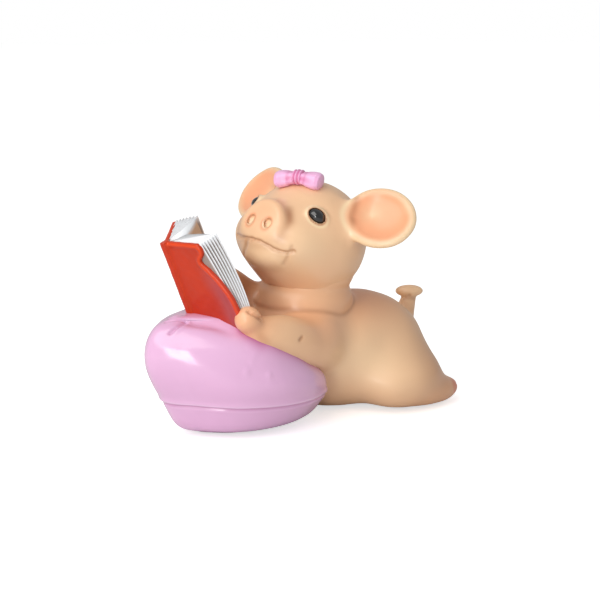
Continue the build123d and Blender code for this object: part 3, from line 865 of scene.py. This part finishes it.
# Pages: on each board a block of thick carved leaves, painted white, with grey-brown painted shade
# between them and tan painted shade on the open pages. The leaves lie close together at the foot
# and fan out to the top. One leaf is repeated and spread as a fan about the spine, over a plain
# core that fills it.
page_reach, page_foot, page_top, page_root, page_gutter = 26.5, -9.0, 31.1, 1.887, 9.0
leaf_count, leaf_thickness, top_thickness = 7, 0.16, 0.60

white, coats = (0.95, 0.955, 0.97), [((0.80, 0.86, 0.88), 0.1, 0.7, 120.0)]
# The tan coat on the open mask is painted shade with reflected skin colour on the open pages; the
# grey-brown coat is painted shade between the leaves.
coats += [((0.80, 0.66, 0.54), "open", 0.1), ((0.60, 0.54, 0.51), "groove", 0.1)]
page_paint = lacquered("white lacquer", white, coats, 0.36, bump=0.06)

fan_values = ["Foot", "Rise", "Foot Thickness", "Top Thickness"]
fan_values += [
    f"{end} {leaf} {value}"
    for value in ("Angle", "Reach")
    for end in ("Foot", "Top")
    for leaf in ("Board", "Open")
]
fan, given, result = new_group(
    "page fan",
    {"Geometry": ["Leaf"], "Int": ["Leaves"], "Float": fan_values, "Material": ["Paint"]},
    {"Geometry": ["Block"]},
    "GeometryNodeTree",
)


def repeated(tree, points, piece):
    """Copies of a piece, one at each point, as a plain mesh."""
    copies = node(tree, "GeometryNodeInstanceOnPoints", {"Points": points, "Instance": piece})
    real = node(tree, "GeometryNodeRealizeInstances", {"Geometry": copies.outputs[0]})
    return real.outputs[0]


def between(tree, share, first, last):
    """A value that goes from one to another as a share grows."""
    made = node(tree, "ShaderNodeMapRange", {"Value": share, "To Min": first, "To Max": last})
    return made.outputs[0]


row = node(fan, "GeometryNodeMeshLine", {"Count": given["Leaves"], "Offset": (0, 0, 0)})
last_leaf = calc(fan, "SUBTRACT", given["Leaves"], 1.0)
share = calc(fan, "DIVIDE", node(fan, "GeometryNodeInputIndex").outputs[0], last_leaf)
values = {"Geometry": row.outputs[0], "Name": "share", "Value": share}
numbered = node(fan, "GeometryNodeStoreNamedAttribute", values)
real = repeated(fan, numbered.outputs[0], given["Leaf"])
position = node(fan, "GeometryNodeInputPosition").outputs[0]
parts = node(fan, "ShaderNodeSeparateXYZ", {0: position}).outputs
leaf = node(fan, "GeometryNodeInputNamedAttribute", {"Name": "share"}, data_type="FLOAT")
risen = calc(fan, "DIVIDE", calc(fan, "SUBTRACT", parts["Z"], given["Foot"]), given["Rise"])
foot_angle, top_angle, foot_reach, top_reach = (
    between(fan, leaf.outputs[0], given[f"{end} Board {value}"], given[f"{end} Open {value}"])
    for value in ("Angle", "Reach")
    for end in ("Foot", "Top")
)
reach = calc(fan, "MULTIPLY", parts["X"], between(fan, risen, foot_reach, top_reach))
thickness = between(fan, risen, given["Foot Thickness"], given["Top Thickness"])
thickness = calc(fan, "MULTIPLY", parts["Y"], thickness)
placed = node(fan, "ShaderNodeCombineXYZ", {"X": reach, "Y": thickness, "Z": parts["Z"]})
values = {"Vector": placed.outputs[0], "Angle": between(fan, risen, foot_angle, top_angle)}
spun = node(fan, "ShaderNodeVectorRotate", values, rotation_type="Z_AXIS").outputs[0]
shaped = node(fan, "GeometryNodeSetPosition", {"Geometry": real, "Position": spun}).outputs[0]
faced = node(fan, "GeometryNodeSetMaterial", {"Geometry": shaped, "Material": given["Paint"]})
fan.links.new(faced.outputs[0], result["Block"])


def worked(piece, tree, values):
    """Run a Geometry Nodes tree on a piece and keep what it makes as a plain mesh."""
    modifier = piece.modifiers.new(tree.name, "NODES")
    modifier.node_group = tree
    for item in tree.interface.items_tree:
        if item.in_out == "INPUT" and item.name in values:
            modifier[item.identifier] = values[item.name]
    bpy.context.view_layer.update()
    seen = piece.evaluated_get(bpy.context.evaluated_depsgraph_get())
    mesh = bpy.data.meshes.new_from_object(seen)
    piece.modifiers.clear()
    piece.data = mesh


def set_in_book(piece, top_slope):
    """Slope the top of a mesh made in the book's own frame, in metres, and move it to its place."""
    points = np.zeros(3 * len(piece.data.vertices))
    piece.data.vertices.foreach_get("co", points)
    points = points.reshape(-1, 3)
    risen = (points[:, 2] / mm - page_foot) / (page_top - page_foot)
    points[:, 2] -= top_slope * points[:, 0] * risen
    piece.data.vertices.foreach_set("co", (points @ book_turn.T + book_place * mm).ravel())
    piece.data.update()


def in_book(angle, reach):
    """A point of the book's cross-section, at an angle from its middle plane."""
    angle = math.radians(angle)
    return np.array((reach * math.sin(angle), reach * math.cos(angle)))


full_rise, page_belly, core_gap = 45.5, 0.05, 1.1
foot_angles, foot_reaches = (54.16, 51.5), (23.9, 26.5)
top_angles, top_reaches = (52.3, 27.0), (16.1, 19.6)
ends = (("Foot", foot_angles, foot_reaches), ("Top", top_angles, top_reaches))
core_counts = back_count, fore_count, page_count = 12, 14, 24
for name, side, top_slope in (("left_pages", 1, 0.176), ("right_pages", -1, 0.25)):
    sections, gap_shades = [], []
    for share in np.linspace(0, 1, 70):
        close = math.sqrt(max(1 - max((share - 0.985) / 0.015, 0) ** 2, 0.02))
        belly = 1 + page_belly * math.sin(math.pi * share)
        up = page_foot + share * (page_top - page_foot)
        bend = 0.25 * math.sin(up / 7.0 + 0.8) + 0.12 * math.sin(up / 2.9)
        below_top = np.clip((0.985 - share) / 0.06, 0.12, 1)
        ring, leaf_shade_ring = [], []
        for about in np.linspace(0, 2 * math.pi, 44, endpoint=False):
            reach = 0.5 * page_reach * (1 + math.cos(about))
            full = math.copysign(abs(math.sin(about)) ** 0.7, math.sin(about))
            half = (bend + close * full) * (0.15 + 0.85 * reach / page_reach)
            ring.append((reach * belly, half, up))
            # Painted shade over each leaf's side, leaving its edge and the top light, so the gaps
            # read dark.
            leaf_shade_ring.append(np.clip((page_reach - 0.35 - reach) / 0.7, 0, 1) * below_top)
        sections.append(ring)
        gap_shades.append(leaf_shade_ring)
    leaves, _ = loft(name + "_leaves", sections)
    paint(leaves, groove=np.append(np.concatenate(gap_shades), (0, 0)))
    paint(leaves, open=np.zeros(len(leaves.data.vertices)))
    values = {"Leaves": leaf_count, "Paint": page_paint}
    values |= {"Foot": page_foot * mm, "Rise": full_rise * mm}
    values |= {"Foot Thickness": leaf_thickness, "Top Thickness": top_thickness}
    for end, angles_there, reaches_there in ends:
        for leaf, angle, reach in zip(("Board", "Open"), angles_there, reaches_there):
            values[f"{end} {leaf} Angle"] = math.radians(90 - side * angle)
            values[f"{end} {leaf} Reach"] = (reach - 0.3) / page_reach
    worked(leaves, fan, values)
    set_in_book(leaves, top_slope)
    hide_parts(name)
    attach(leaves, "root")

    sections, gap_shades, open_page_shades = [], [], []
    for up in np.linspace(page_foot, page_top - 0.4, 60):
        risen = (up - page_foot) / full_rise
        board_angle, open_angle = (a + risen * (b - a) for a, b in zip(foot_angles, top_angles))
        board_reach, open_reach = (a + risen * (b - a) for a, b in zip(foot_reaches, top_reaches))
        root, lip = np.array((0, page_root)), np.array((0, page_gutter))
        belly = 1 + page_belly * math.sin(math.pi * (up - page_foot) / (page_top - page_foot))
        corner = in_book(board_angle, board_reach * belly - core_gap)
        edge = in_book(open_angle, open_reach * belly - core_gap)
        middle = (edge + lip) / 2 + (0.2, 0.6)
        back, fore = (
            start + (end - start) * np.linspace(0, 1, count, endpoint=False)[:, None]
            for start, end, count in ((root, corner, back_count), (corner, edge, fore_count))
        )
        page = smooth_path([edge, middle, lip], page_count)
        flat = np.concatenate([back, fore, page]) * (side, 1)
        sections.append(np.column_stack([flat, np.full(len(flat), up)])[:: side])
        # The core's fore-edge is painted shade between the leaves, and its open page painted shade,
        # fuller
        # on the far block.
        below_top = np.clip((page_top - 0.8 - up) / 1.5, 0, 1)
        open_shade_amount = below_top * (1 if side < 0 else 0.35)
        gap_shades.append(np.repeat((0, below_top, 0), core_counts)[:: side])
        open_page_shades.append(np.repeat((0, 0, open_shade_amount), core_counts)[:: side])
    core, _ = loft(name + "_core", sections)
    gap_shades, open_page_shades = (np.append(np.concatenate(mask), (0, 0)) for mask in (gap_shades, open_page_shades))
    paint(core, groove=gap_shades, open=open_page_shades)
    set_in_book(core, top_slope)
    core.data.materials.append(page_paint)
    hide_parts(name)
    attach(core, "root")


# Base pads: five small dark rubber discs, all alike. They are glued under the pillow and the
# belly, and keep the glossy resin off the shelf.
pad_places = ((-7.7, -25.3), (7.7, -25.3), (0, -37.46), (-5, 43.42), (5, 43.42))
pad_radius, pad_height, pad_sides = 3.5, 0.8, 48

pads, given, result = new_group(
    "pad row",
    {"Geometry": ["Pad"], "Object": ["Places"], "Material": ["Rubber"]},
    {"Geometry": ["Pads"]},
    "GeometryNodeTree",
)
places = node(pads, "GeometryNodeObjectInfo", {"Object": given["Places"]}).outputs["Geometry"]
real = repeated(pads, places, given["Pad"])
faced = node(pads, "GeometryNodeSetMaterial", {"Geometry": real, "Material": given["Rubber"]})
pads.links.new(faced.outputs[0], result["Pads"])

dark, coats = (0.16, 0.15, 0.15), [((0.30, 0.29, 0.28), 0.1, 0.9, 400.0)]
rubber = lacquered("dark rubber", dark, coats, 0.8, 0.2, 2500.0, 0.3, clear=(0.0, 0.2))

pad_profile = ((0.0, 0.92), (0.04, 0.97), (0.12, 1.0), (0.62, 1.0), (0.74, 0.97))
turns = np.linspace(0, 2 * math.pi, pad_sides, endpoint=False)
circle = np.column_stack([pad_radius * np.cos(turns), pad_radius * np.sin(turns)])
sections = [
    np.column_stack([share * circle, np.full(pad_sides, height)])
    for height, share in (*pad_profile, (pad_height, 0.90))
]
base_pads, _ = loft("base_pad_discs", sections)
pad_marks = mesh_of("pad_places", [(x, y, 0) for x, y in pad_places], [])
worked(base_pads, pads, {"Places": pad_marks, "Rubber": rubber})
bpy.data.objects.remove(pad_marks)
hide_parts("base_pads")
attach(base_pads, "root")


# Studio: a pale floor that keeps the ornament's shadow and shows white to the camera, a large
# soft lamp above, a low one for the shaded side and a plain sky.
far = 9 / mm
floor_corners = ((-far, -far, 0), (far, -far, 0), (far, far, 0), (-far, far, 0))
floor = mesh_of("floor", floor_corners, [(0, 1, 2, 3)])
floor_paint = bpy.data.materials.new("pale floor")
floor_paint.use_nodes = True
tree = floor_paint.node_tree
seen = node(tree, "ShaderNodeLightPath").outputs
values = {"Base Color": (0.84, 0.84, 0.84, 1), "Roughness": 0.9, "Specular IOR Level": 0.1}
values["Emission Color"] = (1, 1, 1, 1)
values["Emission Strength"] = calc(tree, "MULTIPLY", seen["Is Camera Ray"], 0.62)
feed(tree, tree.nodes["Principled BSDF"], values)
floor.data.materials.append(floor_paint)

sky = bpy.data.worlds.new("studio sky")
sky.use_nodes = True
tree = sky.node_tree
seen = node(tree, "ShaderNodeLightPath").outputs
direct = calc(tree, "MAXIMUM", seen["Is Camera Ray"], seen["Is Transmission Ray"])
values = {"Color": (1, 1, 1, 1), "Strength": calc(tree, "MAXIMUM", direct, 0.47)}
feed(tree, tree.nodes["Background"], values)
bpy.context.scene.world = sky


def stand(name, data, axes, place):
    """Put a lamp or the camera in the scene, turned by its axes."""
    made = bpy.data.objects.new(name, data)
    made.matrix_world = Matrix([[*axes[i], place[i]] for i in range(3)] + [[0, 0, 0, 1]])
    bpy.context.scene.collection.objects.link(made)
    return made


def lamp(name, place, size, power, tint=(1, 1, 1)):
    """A soft lamp, so wide and so high, that faces the ornament."""
    light = bpy.data.lights.new(name, "AREA")
    light.shape, light.energy, light.color = "RECTANGLE", power, tint
    light.size, light.size_y = size
    stand(name, light, along(np.array(place) - np.array((0, 0, 0.04))), place)


lamp("key lamp", (0.10, -0.62, 0.62), (0.8, 0.8), 4.9, (1.0, 0.98, 0.95))
lamp("fill lamp", (0.40, -0.72, 0.08), (0.5, 0.14), 2.0)

# Camera: at the photograph's angle, low beside the piglet, with a long lens so that the near
# pillow isn't swollen.
view_turn, view_rise, view_distance = math.radians(50), math.radians(11), 0.56
target = np.array((0, 0.0041, 0.045))
level = math.cos(view_rise)
towards = (math.sin(view_turn) * level, -math.cos(view_turn) * level, math.sin(view_rise))
right = np.cross((0, 0, 1), towards)
right /= norm(right)
axes = np.stack([right, np.cross(towards, right), towards], axis=1)
camera_data = bpy.data.cameras.new("camera")
camera_data.lens, camera_data.sensor_width = 85, 36
camera_data.clip_start, camera_data.clip_end = 0.01, 20
camera = stand("camera", camera_data, axes, target + view_distance * np.array(towards))
bpy.context.scene.camera = camera
bpy.context.scene.view_settings.view_transform = "Standard"
